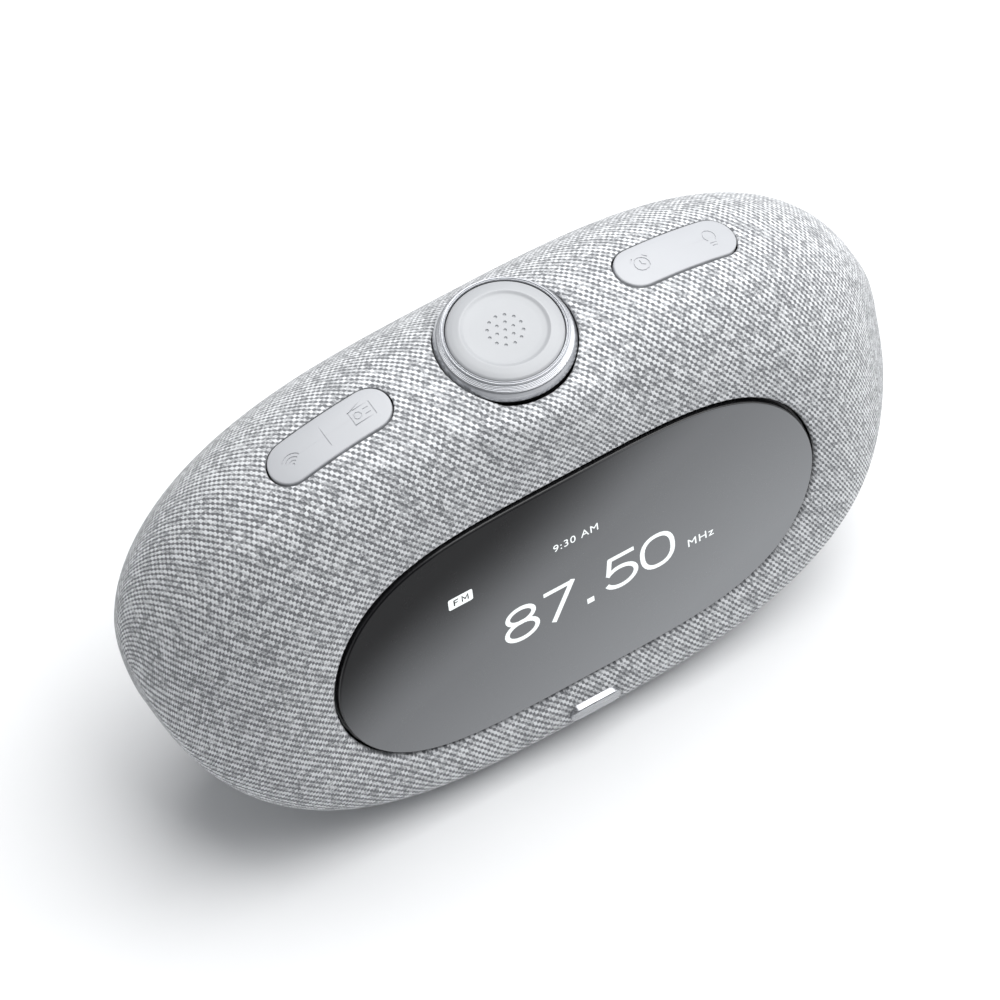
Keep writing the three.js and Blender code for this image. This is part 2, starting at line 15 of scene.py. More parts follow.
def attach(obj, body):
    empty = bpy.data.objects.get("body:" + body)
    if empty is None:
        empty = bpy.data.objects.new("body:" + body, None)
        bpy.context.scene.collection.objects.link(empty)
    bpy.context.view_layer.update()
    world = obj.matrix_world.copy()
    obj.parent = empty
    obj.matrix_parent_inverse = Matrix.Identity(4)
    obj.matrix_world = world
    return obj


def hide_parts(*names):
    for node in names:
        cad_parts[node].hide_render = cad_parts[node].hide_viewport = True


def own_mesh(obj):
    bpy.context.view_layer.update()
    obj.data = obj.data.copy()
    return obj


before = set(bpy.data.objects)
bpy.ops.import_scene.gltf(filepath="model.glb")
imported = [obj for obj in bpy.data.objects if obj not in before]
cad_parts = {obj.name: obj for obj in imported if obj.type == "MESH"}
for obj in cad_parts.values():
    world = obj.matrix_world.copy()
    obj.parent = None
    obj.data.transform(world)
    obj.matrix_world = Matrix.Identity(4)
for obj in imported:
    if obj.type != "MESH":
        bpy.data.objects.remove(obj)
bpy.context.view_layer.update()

# Body: a capsule with its own roundness at the front and the rear.
HALF_WIDTH = 90.0
HALF_HEIGHT = 54.8
FRONT_DEPTH = 32.6
REAR_DEPTH = 32.3
END_SQUARENESS = 3.18
END_ROUNDNESS = 1.82
FRONT_SQUARENESS = 4.25
REAR_SQUARENESS = 1.8
DEPTH_POWER = 0.77
FRONT_LEAN = 0.33
REAR_LEAN = -0.1
BODY_SHIFT = (0, 3.125, 52)
# the body's front rises to a level seat round the dial: its height, and where it starts and is full
SEAT_HEIGHT = 52.2
SEAT_RADII = (17, 27.2)
SEAT_RISE = (33.9, 44.4)
FABRIC_THICKNESS = 1.2
# rings along the body and sides round it, for the cover and for the coarser bodies that cut pieces
COVER_GRID = (190, 240)
CUTTER_GRID = (110, 150)
HEM_RADIUS = 1.05
TOP_HEM_RADIUS = 0.5
# openings above this height have the smaller hem
TOP_LEVEL = 43

# Window in the front.
WINDOW_HALF = (59.2, 31.9)
WINDOW_POWERS = (4.1, 1.83)
WINDOW_Y = -30.2
WINDOW_LEAN = 9.7
FLAT_MARGIN = 1.45
GLASS_MARGIN = 0.95
GLASS_TOP = 0.35

# Dial, key bars, badge, rear panel and base.
KNOB_Y = -2.0
DIAL_HOLE = 15.24
RING_GROOVES = 5
# each groove's section from its lower lip, and how far the next one lies inward and up
GROOVE_POINTS = ((-0.2, 0.03), (-0.16, 0.1), (0.02, 0.14), (-0.04, 0.26))
GROOVE_PITCH = (0.185, 0.27)
# the cap's dimples: how many, and on what radius
DIMPLE_RINGS = ((6, 1.95), (12, 3.75))
DOME_FOOT = 31.62
BAR_X = 42.4
BAR_Y = -1.2
BAR_HALF = (14.6, 5.1)
BAR_SLOPE = 12.2
BAR_GAP = 0.4
BAR_RISE = -0.05
PANEL_HALF = (32, 9)
PANEL_CORNER = 3.0
PANEL_AT = (0, 29.6, -14)
PANEL_TILT = 104
PANEL_SCREW_X = (-28, 28)
INLET_X = -18
JACK_X = 16
BADGE_HALF = (6.2, 2.3)
BADGE_AT = (0, -37.4, -39.7)
BADGE_TILT = 98
BASE_PLANE = -50.0
BASE_Y = -11.0
BASE_HALF = (42, 13)

# Weave: the spacing of its nubs along the body and round it, in metres.
NUB_ALONG = 0.000735
NUB_ROUND = 0.00094
# how much the weave's slanting rows stand out over the plain chequer
ROW_WEIGHT = 0.3


def turn(axis, degrees):
    return Matrix.Rotation(math.radians(degrees), 4, axis)


def shift(x, y, z):
    return Matrix.Translation((x, y, z))


BODY = Matrix.Scale(0.001, 4) @ shift(*BODY_SHIFT)
WINDOW = BODY @ shift(0, WINDOW_Y, 0) @ turn("X", 90 - WINDOW_LEAN)
PANEL = BODY @ shift(*PANEL_AT) @ turn("Z", 180) @ turn("X", PANEL_TILT)
BADGE = BODY @ shift(*BADGE_AT) @ turn("X", BADGE_TILT)
DIAL = BODY @ shift(0, KNOB_Y, 0)
BASE = BODY @ shift(0, BASE_Y, 0)


def bar_frame(side):
    height = HALF_HEIGHT * (1 - (BAR_X / HALF_WIDTH) ** END_SQUARENESS) ** (1 / END_ROUNDNESS)
    return BODY @ shift(side * BAR_X, BAR_Y, height) @ turn("Y", side * BAR_SLOPE)


def moved(points, matrix):
    """Points as rows, carried by a 4 by 4 matrix."""
    m = np.array(matrix)
    return np.asarray(points, float) @ m[:3, :3].T + m[:3, 3]


# ---------------------------------------------------------------- body surface


def smooth(value, low, high):
    t = np.clip((value - low) / (high - low), 0, 1)
    return t * t * (3 - 2 * t)


def flatness(x, z):
    """1 inside the window and its border, falling to 0 where the body is round again."""
    size = (np.abs(x / WINDOW_HALF[0]) ** 3 + np.abs(z / WINDOW_HALF[1]) ** 3) ** (1 / 3)
    return smooth((FLAT_MARGIN - size) / (FLAT_MARGIN - 1), 0, 1)


def body_points(along, angle, inset=0.0):
    """Surface points of the body, drawn in by inset. angle is 0 in front, 90 degrees on top."""
    x = np.sin(along * math.pi / 2)
    girth = np.clip(1 - np.abs(x) ** END_SQUARENESS, 0, 1) ** (1 / END_ROUNDNESS)
    cos, sin = np.cos(angle), np.sin(angle)
    front = cos > 0
    depth = np.where(front, FRONT_DEPTH, REAR_DEPTH) - inset
    height = HALF_HEIGHT - inset
    power = np.where(front, FRONT_SQUARENESS, REAR_SQUARENESS)
    lean = np.where(front, FRONT_LEAN, REAR_LEAN)
    reach = (np.abs(cos / depth) ** power + np.abs(sin / height) ** power) ** (-1 / power)
    rise = reach * sin / height
    px = x * (HALF_WIDTH - inset)
    py = -reach * cos * (1 - lean * rise) * girth**DEPTH_POWER
    pz = rise * height * girth
    flat = WINDOW_Y + pz * math.tan(math.radians(WINDOW_LEAN)) + inset
    share = flatness(px, pz)
    y = py + (flat - py) * share
    near = 1 - smooth(np.hypot(px, y - KNOB_Y), *SEAT_RADII)
    high = smooth(pz, *SEAT_RISE)
    lift = near * high * np.maximum(0, SEAT_HEIGHT - inset - pz)
    columns = np.broadcast_arrays(px, np.where(front, y, py), pz + np.where(front, lift, 0))
    return np.stack(columns, -1)


def mesh_object(name, points, faces, matrix):
    """A new mesh object in the scene; matrix carries its points into the model's frame."""
    mesh = bpy.data.meshes.new(name)
    mesh.from_pydata(moved(points, matrix).tolist(), [], faces)
    mesh.validate()
    mesh.update()
    obj = bpy.data.objects.new(name, mesh)
    bpy.context.scene.collection.objects.link(obj)
    return obj


def body_grid(name, rings, sides, inset, seam=-90.0):
    """The closed body as a grid of quads. Its UV map holds the lengths along the yarns, in metres."""
    stations = np.linspace(-1, 1, rings + 1)
    angles = np.radians(seam) + np.linspace(0, 2 * math.pi, sides + 1)
    grid = body_points(stations[1:-1, None], angles[None, :-1], inset)
    inner = rings - 1
    points = np.concatenate([
        body_points(np.array([-1.0]), np.array([0.0]), inset),
        grid.reshape(-1, 3),
        body_points(np.array([1.0]), np.array([0.0]), inset),
    ])
    last = len(points) - 1
    faces = []
    corners = []
    for i in range(inner - 1):
        for j in range(sides):
            k = (j + 1) % sides
            a, b = 1 + i * sides, 1 + (i + 1) * sides
            faces.append((a + j, b + j, b + k, a + k))
            corners.append(((i, j), (i + 1, j), (i + 1, j + 1), (i, j + 1)))
    for j in range(sides):
        k = (j + 1) % sides
        faces.append((0, 1 + j, 1 + k))
        corners.append(((0, j), (0, j), (0, j + 1)))
        faces.append((last, 1 + (inner - 1) * sides + k, 1 + (inner - 1) * sides + j))
        corners.append(((inner - 1, j), (inner - 1, j + 1), (inner - 1, j)))
    obj = mesh_object(name, points, faces, BODY)

    closed = np.concatenate([grid, grid[:, :1]], 1)
    ring_steps = np.linalg.norm(np.diff(closed, axis=1), axis=2)
    ring_length = np.concatenate([np.zeros((inner, 1)), ring_steps.cumsum(1)], 1)
    top = int(round((90 - seam) / 360 * sides))
    ring_length -= ring_length[:, top : top + 1]
    crest = grid[:, top]
    crest = np.stack([crest[:, 0], crest[:, 2]], -1)
    crest_length = np.concatenate([[0], np.linalg.norm(np.diff(crest, axis=0), axis=1).cumsum()])
    crest_length -= crest_length[inner // 2]
    layer = obj.data.uv_layers.new(name="weave")
    index = np.array([c for corner in corners for c in corner])
    uv = np.stack([crest_length[index[:, 0]], ring_length[index[:, 0], index[:, 1]]], -1) * 0.001
    layer.data.foreach_set("uv", uv.astype(np.float32).ravel())
    return obj


# ---------------------------------------------------------------- outlines and solids


def window_outline(margin, count=160):
    """The window's outline, drawn in by margin, anticlockwise."""
    t = np.linspace(0, 2 * math.pi, count, endpoint=False)
    a, b = WINDOW_HALF[0] - margin, WINDOW_HALF[1] - margin
    sin, cos = np.sin(t), np.cos(t)
    rise = (1 - np.abs(sin) ** WINDOW_POWERS[0]).clip(0, 1) ** (1 / WINDOW_POWERS[1])
    points = np.stack([-a * sin, np.sign(cos) * b * rise], -1)
    return even(points, count)


def even(points, count):
    """The closed outline with evenly spaced points."""
    closed = np.vstack([points, points[:1]])
    at = np.concatenate([[0], np.linalg.norm(np.diff(closed, axis=0), axis=1).cumsum()])
    wanted = np.linspace(0, at[-1], count, endpoint=False)
    return np.stack([np.interp(wanted, at, closed[:, k]) for k in (0, 1)], -1)


def pill_outline(half, inset=0.0, arc=20, straight=24):
    """A stadium of that half length and half width, drawn in by inset, anticlockwise."""
    radius, centre = half[1] - inset, half[0] - half[1]
    turns = np.linspace(-math.pi / 2, math.pi / 2, arc + 1)
    right = np.stack([centre + radius * np.cos(turns), radius * np.sin(turns)], -1)
    line = np.linspace(centre, -centre, straight + 1)[1:-1]
    top = np.stack([line, np.full(len(line), radius)], -1)
    return np.vstack([right, top, -right, -top])


def box_outline(half, corner, inset=0.0, steps=6):
    """A rectangle with rounded corners, drawn in by inset, anticlockwise."""
    radius = max(corner - inset, 0.05)
    a, b = half[0] - inset - radius, half[1] - inset - radius
    turns = np.linspace(0, math.pi / 2, steps + 1)
    arc = radius * np.stack([np.cos(turns), np.sin(turns)], -1)
    quarter = [(a, b), (-a, b), (-a, -b), (a, -b)]
    rows = []
    for k, (x, y) in enumerate(quarter):
        spin = np.array([[math.cos(k * math.pi / 2), -math.sin(k * math.pi / 2)],
                         [math.sin(k * math.pi / 2), math.cos(k * math.pi / 2)]])
        rows.append(arc @ spin.T + (x, y))
    return np.vstack(rows)


def disc_outline(radius, inset=0.0, count=32):
    t = np.linspace(0, 2 * math.pi, count, endpoint=False)
    return (radius - inset) * np.stack([np.cos(t), np.sin(t)], -1)


def loft(name, layers, matrix):
    """A closed solid through outlines of equal length; each layer is (outline, height or heights)."""
    count = len(layers[0][0])
    points = []
    for outline, height in layers:
        points.append(np.column_stack([outline, np.broadcast_to(height, count)]))
    faces = [tuple(reversed(range(count)))]
    for i in range(len(layers) - 1):
        a, b = i * count, (i + 1) * count
        for j in range(count):
            k = (j + 1) % count
            faces.append((a + j, a + k, b + k, b + j))
    top = (len(layers) - 1) * count
    faces.append(tuple(range(top, top + count)))
    return mesh_object(name, np.vstack(points), faces, matrix)


def slab(name, outline, low, high, matrix):
    return loft(name, [(outline, low), (outline, high)], matrix)


def rounded_slab(name, outline_at, low, high, radius, matrix, steps=5):
    """A slab whose upper edge is rounded; outline_at(inset) gives its outline drawn in by inset."""
    layers = [(outline_at(0), low)]
    for k in range(steps + 1):
        turn_by = k / steps * math.pi / 2
        layers.append((outline_at(radius * (1 - math.cos(turn_by))), high - radius * (1 - math.sin(turn_by))))
    return loft(name, layers, matrix)


def softened(profile, radius, steps=3):
    """The profile with each inner corner rounded."""
    rows = [np.array(profile[0], float)]
    for before, corner, after in zip(profile, profile[1:], profile[2:]):
        before, corner, after = (np.array(p, float) for p in (before, corner, after))
        back, ahead = before - corner, after - corner
        cut = min(radius, 0.45 * np.linalg.norm(back), 0.45 * np.linalg.norm(ahead))
        start = corner + back / np.linalg.norm(back) * cut
        end = corner + ahead / np.linalg.norm(ahead) * cut
        for k in range(steps + 1):
            t = k / steps
            rows.append((1 - t) ** 2 * start + 2 * t * (1 - t) * corner + t * t * end)
    rows.append(np.array(profile[-1], float))
    return np.array(rows)


def turned(name, profile, matrix, sides=144, ring=False):
    """A lathed solid. Its profile runs anticlockwise, the axis on the left; a ring's closes on itself."""
    profile = np.asarray(profile, float)
    t = np.linspace(0, 2 * math.pi, sides, endpoint=False)
    points, index = [], []
    for radius, height in profile:
        if radius < 1e-6:
            index.append([len(points)] * sides)
            points.append((0, 0, height))
        else:
            index.append(list(range(len(points), len(points) + sides)))
            points += [(radius * math.cos(a), radius * math.sin(a), height) for a in t]
    faces = []
    pairs = list(zip(index, index[1:] + index[:1])) if ring else list(zip(index, index[1:]))
    for lower, upper in pairs:
        for j in range(sides):
            k = (j + 1) % sides
            face = [lower[j], lower[k], upper[k], upper[j]]
            face = [v for n, v in enumerate(face) if v not in face[:n]]
            if len(face) > 2:
                faces.append(face)
    return mesh_object(name, points, faces, matrix)


def outward(obj):
    """Turns every face to look out of the solid, and drops doubled points."""
    work = bmesh.new()
    work.from_mesh(obj.data)
    bmesh.ops.remove_doubles(work, verts=work.verts, dist=1e-7)
    bmesh.ops.recalc_face_normals(work, faces=work.faces)
    work.to_mesh(obj.data)
    work.free()
    return obj


def combine(obj, others, operation="DIFFERENCE"):
    """Cuts the other solids from obj, or joins them to it, and removes them."""
    outward(obj)
    for other in others:
        outward(other)
        step = obj.modifiers.new("step", "BOOLEAN")
        step.operation, step.solver, step.object = operation, "MANIFOLD", other
    view = bpy.context.evaluated_depsgraph_get()
    mesh = bpy.data.meshes.new_from_object(obj.evaluated_get(view))
    obj.modifiers.clear()
    old, obj.data = obj.data, mesh
    bpy.data.meshes.remove(old)
    for other in others:
        bpy.data.objects.remove(other)
    return obj


def shade(obj, degrees=32):
    """Smooth shading with crisp edges; large faces count for more, so that flats stay flat."""
    for face in obj.data.polygons:
        face.use_smooth = True
    obj.data.set_sharp_from_angle(angle=math.radians(degrees))
    if len(obj.data.polygons) < 60000:
        weighted = obj.modifiers.new("flats", "WEIGHTED_NORMAL")
        weighted.keep_sharp = True
    return obj


def finish_piece(obj, material, body, slot, *nodes, degrees=32):
    """Gives a piece its material and shading, says what it rides on, and hides the CAD nodes it replaces."""
    obj.data.materials.clear()
    obj.data.materials.append(material)
    shade(obj, degrees)
    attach(obj, body)
    if nodes:
        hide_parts(*nodes)
    return obj


# ---------------------------------------------------------------- materials


class Recipe:
    """A material made of nodes, with short calls for the ones it uses."""

    def __init__(self, name, colour, roughness, metallic=0.0, **sockets):
        self.material = bpy.data.materials.new(name)
        self.material.use_nodes = True
        self.tree = self.material.node_tree
        self.shader = self.tree.nodes["Principled BSDF"]
        self.shader.inputs["Base Color"].default_value = (*colour, 1)
        self.shader.inputs["Roughness"].default_value = roughness
        self.shader.inputs["Metallic"].default_value = metallic
        for key, value in sockets.items():
            self.shader.inputs[key.replace("_", " ")].default_value = value

    def node(self, kind, inputs=None, **settings):
        made = self.tree.nodes.new("ShaderNode" + kind)
        for key, value in settings.items():
            setattr(made, key, value)
        for key, value in (inputs or {}).items():
            self.feed(made.inputs[key], value)
        return made

    def feed(self, socket, value):
        if isinstance(value, bpy.types.NodeSocket):
            self.tree.links.new(value, socket)
        else:
            socket.default_value = value

    def math(self, operation, *values):
        made = self.node("Math", operation=operation)
        for socket, value in zip(made.inputs, values):
            self.feed(socket, value)
        return made.outputs[0]

    def place(self, scale=1.0):
        """Object coordinates, times scale."""
        at = self.node("TexCoord").outputs["Object"]
        made = self.node("VectorMath", {0: at}, operation="SCALE")
        made.inputs["Scale"].default_value = scale
        return made.outputs[0]

    def noise(self, size, detail=2.0, at=None):
        """Noise from 0 to 1 whose blotches are about size metres across."""
        vector = at if at is not None else self.place()
        made = self.node("TexNoise", {"Vector": vector, "Scale": 1 / size, "Detail": detail})
        return made.outputs["Fac"]

    def remap(self, value, low, high, to_low, to_high, smooth_step=False):
        kind = "SMOOTHSTEP" if smooth_step else "LINEAR"
        inputs = {"Value": value, "From Min": low, "From Max": high, "To Min": to_low, "To Max": to_high}
        return self.node("MapRange", inputs, interpolation_type=kind).outputs[0]

    def blend(self, share, first, second):
        made = self.node("Mix", data_type="RGBA")
        for key, value in ((0, share), (6, first), (7, second)):
            if isinstance(value, tuple) and len(value) == 3:
                value = (*value, 1)
            self.feed(made.inputs[key], value)
        return made.outputs[2]

    def set(self, socket, value):
        self.feed(self.shader.inputs[socket], value)

    def bump(self, height, depth, strength=1.0):
        """Bump of that depth, in metres, for a height from 0 to 1."""
        made = self.node("Bump", {"Height": height, "Distance": depth, "Strength": strength})
        self.set("Normal", made.outputs[0])


def fabric_material():
    """A heathered two-tone weave: light nubs in a chequer pattern, with darker yarn in the gaps."""
    r = Recipe("heathered_weave", (0.6, 0.61, 0.62), 0.9, Sheen_Weight=0.12, Sheen_Roughness=0.6)
    split = r.node("SeparateXYZ", {0: r.node("UVMap", uv_map="weave").outputs[0]})
    along = r.math("DIVIDE", split.outputs[0], NUB_ALONG)
    around = r.math("DIVIDE", split.outputs[1], NUB_ROUND)
    lattice = r.math(
        "MULTIPLY",
        r.math("SINE", r.math("MULTIPLY", along, math.pi)),
        r.math("SINE", r.math("MULTIPLY", around, math.pi)),
    )
    rows = r.math("COSINE", r.math("MULTIPLY", r.math("ADD", along, around), math.pi))
    lattice = r.math("SUBTRACT", lattice, r.math("MULTIPLY", rows, ROW_WEIGHT))
    cell = r.node("CombineXYZ", {0: r.math("FLOOR", along), 1: r.math("FLOOR", around)})
    random = r.node("TexWhiteNoise", {"Vector": cell.outputs[0]}, noise_dimensions="2D").outputs["Value"]
    fluff = r.noise(0.00042, 3.0)
    patches = r.noise(0.0026, 3.0)
    clouds = r.noise(0.02, 2.0)
    nub = r.remap(lattice, -0.85, 0.4, 0.0, 1.0, True)
    tone = r.math("ADD", nub, r.remap(random, 0, 1, -0.50, 0.27))
    tone = r.math("ADD", tone, r.remap(fluff, 0.3, 0.7, -0.44, 0.32))
    tone = r.math("ADD", tone, r.remap(patches, 0.32, 0.68, -0.20, 0.14))
    tone = r.math("ADD", tone, r.remap(clouds, 0.3, 0.7, -0.06, 0.06))
    tone = r.math("MINIMUM", r.math("MAXIMUM", tone, 0.0), 1.0)
    r.set("Base Color", r.blend(tone, (0.165, 0.171, 0.182), (0.745, 0.757, 0.775)))
    height = r.math("ADD", nub, r.remap(fluff, 0, 1, 0.0, 0.35))
    r.bump(height, 0.00016, 0.85)
    r.set("Roughness", r.remap(random, 0, 1, 0.82, 0.96))
    return r.material


def satin_material(name, colour, roughness=0.4, **sockets):
    """Satin moulded plastic with a very fine grain."""
    r = Recipe(name, colour, roughness, **sockets)
    grain = r.noise(0.00035, 3.0)
    cloud = r.noise(0.012, 2.0)
    darker = tuple(0.96 * c for c in colour)
    r.set("Base Color", r.blend(r.remap(cloud, 0.3, 0.7, 0, 1), darker, colour))
    r.set("Roughness", r.remap(grain, 0.25, 0.75, roughness - 0.05, roughness + 0.06))
    r.bump(grain, 0.000006, 0.5)
    return r.material


def moulded_material(name, colour, roughness=0.55, grain_size=0.0006, depth=0.00003, **sockets):
    """Moulded plastic or rubber with a spark-eroded grain and slightly rubbed edges."""
    r = Recipe(name, colour, roughness, **sockets)
    grain = r.noise(grain_size, 4.0)
    cloud = r.noise(0.015, 2.0)
    rubbed = r.remap(r.node("NewGeometry").outputs["Pointiness"], 0.52, 0.62, 0.0, 0.6)
    lighter = tuple(min(1, 1.35 * c + 0.02) for c in colour)
    darker = tuple(0.85 * c for c in colour)
    base = r.blend(r.remap(cloud, 0.3, 0.7, 0, 1), darker, colour)
    r.set("Base Color", r.blend(rubbed, base, lighter))
    r.set("Roughness", r.remap(grain, 0.25, 0.75, roughness - 0.08, roughness + 0.1))
    r.bump(grain, depth, 0.7)
    return r.material


def turned_metal(name, colour, roughness):
    """Lathe-turned aluminium: fine rings round the dial's axis."""
    r = Recipe(name, colour, roughness, 1.0)
    to_axis = (0.0, -(KNOB_Y + BODY_SHIFT[1]) * 0.001, 0.0)
    at = r.node("VectorMath", {0: r.place(), 1: to_axis}, operation="ADD")
    split = r.node("SeparateXYZ", {0: at.outputs[0]})
    radius = r.math(
        "SQRT",
        r.math("ADD", r.math("POWER", split.outputs[0], 2.0), r.math("POWER", split.outputs[1], 2.0)),
    )
    track = r.node("CombineXYZ", {0: radius, 1: split.outputs[2]}).outputs[0]
    rings = r.noise(0.00016, 2.0, track)
    cloud = r.noise(0.004, 2.0)
    r.set("Base Color", r.blend(r.remap(cloud, 0.3, 0.7, 0, 1), tuple(0.94 * c for c in colour), colour))
    r.set("Roughness", r.remap(rings, 0.25, 0.75, roughness - 0.06, roughness + 0.1))
    r.bump(rings, 0.000012, 0.6)
    return r.material


def brushed_metal(name, colour, roughness):
    """Stamped or drawn metal with straight brush marks."""
    r = Recipe(name, colour, roughness, 1.0)
    stretch = r.node("Mapping", {"Vector": r.place(), "Scale": (0.04, 1.0, 1.0)})
    marks = r.noise(0.00022, 3.0, stretch.outputs[0])
    cloud = r.noise(0.006, 3.0)
    r.set("Base Color", r.blend(r.remap(cloud, 0.3, 0.7, 0, 1), tuple(0.85 * c for c in colour), colour))
    r.set("Roughness", r.remap(marks, 0.25, 0.75, roughness - 0.08, roughness + 0.14))
    r.bump(marks, 0.00001, 0.6)
    return r.material


def board_material(name, colour):
    """A solder-masked board with faint copper tracks under the mask."""
    r = Recipe(name, colour, 0.35, Coat_Weight=0.4, Coat_Roughness=0.15)
    tracks = r.node("TexBrick", {"Vector": r.place(), "Scale": 160.0, "Mortar Size": 0.03})
    tracks.inputs["Color1"].default_value = (*colour, 1)
    tracks.inputs["Color2"].default_value = (*(0.8 * c for c in colour), 1)
    tracks.inputs["Mortar"].default_value = (*(min(1, 1.6 * c + 0.02) for c in colour), 1)
    r.set("Base Color", tracks.outputs["Color"])
    r.set("Roughness", r.remap(r.noise(0.002, 2.0), 0.3, 0.7, 0.28, 0.42))
    r.bump(tracks.outputs["Fac"], 0.00002, 0.5)
    return r.material


def screen_material():
    """The screen under a clear gloss coat: its glow is a painted reflection, nearly black in one corner and
    grey elsewhere.
    """
    r = Recipe("screen_painted_reflection", (0.006, 0.006, 0.007), 0.3, Coat_Weight=0.16, Coat_Roughness=0.03)
    r.shader.inputs["Specular IOR Level"].default_value = 0.06
    split = r.node("SeparateXYZ", {0: r.place(1000.0)})
    side = r.math("MULTIPLY", split.outputs[0], SCREEN_SLANT[0])
    rise = r.math("MULTIPLY", r.math("SUBTRACT", split.outputs[2], BODY_SHIFT[2]), SCREEN_SLANT[1])
    away = r.math("ADD", side, rise)
    bend = r.remap(r.noise(0.05, 1.0), 0.3, 0.7, -2.0, 2.0)
    away = r.math("ADD", away, bend)
    dots = r.node("TexVoronoi", {"Vector": r.place(), "Scale": 1 / 0.00013}).outputs["Distance"]
    away = r.math("ADD", away, r.remap(dots, 0, 1, -0.4, 0.4))
    level = r.math(
        "ADD",
        r.remap(away, SCREEN_BLACK_AT, SCREEN_GREY_AT, 0.0, SCREEN_GREY, True),
        r.remap(away, SCREEN_GREY_AT, SCREEN_FAR, 0.0, SCREEN_RISE),
    )
    # painted reflection: this grey glow stands in for the studio reflected in the screen's glass
    r.set("Emission Color", r.blend(level, (0.0, 0.0, 0.0), SCREEN_TINT))
    r.set("Emission Strength", 1.0)
    r.set("Roughness", r.remap(r.noise(0.006, 3.0), 0.3, 0.7, 0.25, 0.35))
    return r.material


def lit_material(name, colour, strength):
    """Lit characters on the screen, with the faint unevenness of the backlight."""
    r = Recipe(name, (0.3, 0.3, 0.3), 0.3, Coat_Weight=0.6, Coat_Roughness=0.04)
    glow = r.remap(r.noise(0.01, 2.0), 0.3, 0.7, 0.0, 1.0)
    r.set("Emission Color", r.blend(glow, tuple(0.97 * c for c in colour), colour))
    r.set("Emission Strength", strength)
    r.set("Roughness", r.remap(r.noise(0.002, 2.0), 0.3, 0.7, 0.25, 0.35))
    return r.material


# the screen's painted reflection brightens along this slant in x and z: black, then grey, then a little
# lighter
SCREEN_SLANT = (0.43, -0.91)
SCREEN_BLACK_AT = -34
SCREEN_GREY_AT = -5
SCREEN_FAR = 36
SCREEN_GREY = 0.17
SCREEN_RISE = 0.1
SCREEN_TINT = (0.965, 1.0, 1.05)

FABRIC = fabric_material()
CAP = satin_material("satin_cap_plastic", (0.41, 0.42, 0.435), 0.36)
BAR = satin_material("satin_bar_plastic", (0.455, 0.465, 0.485), 0.42)
TURNED = turned_metal("turned_aluminium", (0.46, 0.47, 0.49), 0.30)
POLISHED = brushed_metal("polished_badge", (0.50, 0.51, 0.53), 0.24)
SCREEN = screen_material()
LIT = lit_material("lit_characters", (0.86, 0.92, 0.92), 0.95)
GLOSS_BLACK = satin_material("gloss_black_edge", (0.008, 0.008, 0.009), 0.3)
BY_SLOT = {
    "fabric": FABRIC,
    "cap_plastic": CAP,
    "ring_metal": TURNED,
    "shell_plastic": moulded_material("moulded_grey", (0.30, 0.31, 0.33), 0.5),
    "dark_plastic": moulded_material("moulded_charcoal", (0.022, 0.023, 0.025), 0.5),
    "window_glass": GLOSS_BLACK,
    "screen_film": satin_material("screen_film", (0.03, 0.032, 0.035), 0.25),
    "sheet_steel": brushed_metal("stamped_steel", (0.58, 0.59, 0.61), 0.32),
    "rubber": moulded_material("foot_rubber", (0.030, 0.030, 0.032), 0.75, 0.0004, 0.00005),
    "board": board_material("solder_mask", (0.012, 0.085, 0.04)),
    "film": satin_material("flexible_film", (0.42, 0.17, 0.03), 0.3),
    "cone_paper": moulded_material("cone_pulp", (0.018, 0.018, 0.02), 0.85, 0.0012, 0.00006),
    "magnet": brushed_metal("plated_magnet", (0.35, 0.36, 0.38), 0.3),
    "screw_steel": brushed_metal("zinc_screw", (0.40, 0.42, 0.44), 0.32),
}


# ---------------------------------------------------------------- fabric cover


def edge_distance(points):
    """How far each body point is outside the nearest opening, in mm; negative inside it."""
    world = moved(points, BODY)

    def local(matrix):
        return moved(world, matrix.inverted())

    best = np.full(len(points), 99.0)
    # dial
    on_top = points[:, 2] > 40
    dial = np.hypot(points[:, 0], points[:, 1] - KNOB_Y) - DIAL_HOLE
    best = np.where(on_top, np.minimum(best, dial), best)
    # key bars
    for side in (-1, 1):
        at = local(bar_frame(side))
        reach = np.maximum(np.abs(at[:, 0]) - (BAR_HALF[0] - BAR_HALF[1]), 0)
        gap = np.hypot(reach, at[:, 1]) - BAR_HALF[1] - BAR_GAP
        best = np.where(np.abs(at[:, 2]) < 8, np.minimum(best, gap), best)
    # rear panel
    at = local(PANEL)
    spare = np.maximum(np.abs(at[:, :2]) - (np.array(PANEL_HALF) - PANEL_CORNER), 0)
    gap = np.hypot(spare[:, 0], spare[:, 1]) - PANEL_CORNER
    best = np.where(np.abs(at[:, 2]) < 10, np.minimum(best, gap), best)
    # window, by the nearest point of its outline
    at = local(WINDOW)
    beside = np.abs(at[:, :2]) < np.array(WINDOW_HALF) + 5
    close = (np.abs(at[:, 2]) < 8) & beside.all(1)
    outline = window_outline(0.0, 700)
    for start in range(0, len(points), 4000):
        rows = np.arange(start, min(start + 4000, len(points)))
        rows = rows[close[rows]]
        if not len(rows):
            continue
        apart = np.linalg.norm(at[rows, None, :2] - outline[None], axis=2).min(1)
        u = np.abs(at[rows, 0] / WINDOW_HALF[0]).clip(0, 1)
        v = np.abs(at[rows, 1] / WINDOW_HALF[1])
        rim = (1 - u ** WINDOW_POWERS[0]) ** (1 / WINDOW_POWERS[1])
        inside = (np.abs(at[rows, 0]) < WINDOW_HALF[0]) & (v < rim)
        gap = np.where(inside, -apart, apart)
        best[rows] = np.minimum(best[rows], gap)
    return best


